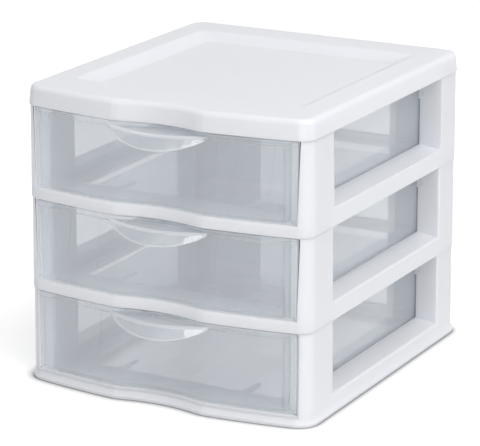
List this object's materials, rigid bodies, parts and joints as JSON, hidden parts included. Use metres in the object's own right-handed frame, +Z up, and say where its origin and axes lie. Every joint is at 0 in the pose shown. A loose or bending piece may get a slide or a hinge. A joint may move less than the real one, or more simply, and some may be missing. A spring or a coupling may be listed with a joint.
{
  "type": "stackable drawer box",
  "caption": "Stacked desktop drawer box for crafts and small parts: open-sided white frames under a tray-topped cover, with clear curved-front drawers and moulded hood pulls.",
  "frame": {"origin": "middle of the footprint, on the surface that the unit stands on", "axes": "+Z up, the drawers open towards -Y, +X to the right as seen from the front"},
  "size_m": [0.1866, 0.2206, 0.1759],
  "materials": {
    "white_plastic": "satin injection-moulded white polypropylene",
    "clear_plastic": "glossy clear polystyrene, faintly blue"
  },
  "bodies": {
    "housing": {"cover": "white_plastic", "upper_frame": "white_plastic", "middle_frame": "white_plastic", "base_frame": "white_plastic"},
    "upper_drawer": {"upper_drawer": "clear_plastic"},
    "middle_drawer": {"middle_drawer": "clear_plastic"},
    "lower_drawer": {"lower_drawer": "clear_plastic"}
  },
  "joints": [
    {"name": "upper_drawer_slide", "type": "slide", "parent": "housing", "child": "upper_drawer", "axis": [0, -1, 0], "range_m": [0, 0.134]},
    {"name": "middle_drawer_slide", "type": "slide", "parent": "housing", "child": "middle_drawer", "axis": [0, -1, 0], "range_m": [0, 0.134]},
    {"name": "lower_drawer_slide", "type": "slide", "parent": "housing", "child": "lower_drawer", "axis": [0, -1, 0], "range_m": [0, 0.134]}
  ]
}
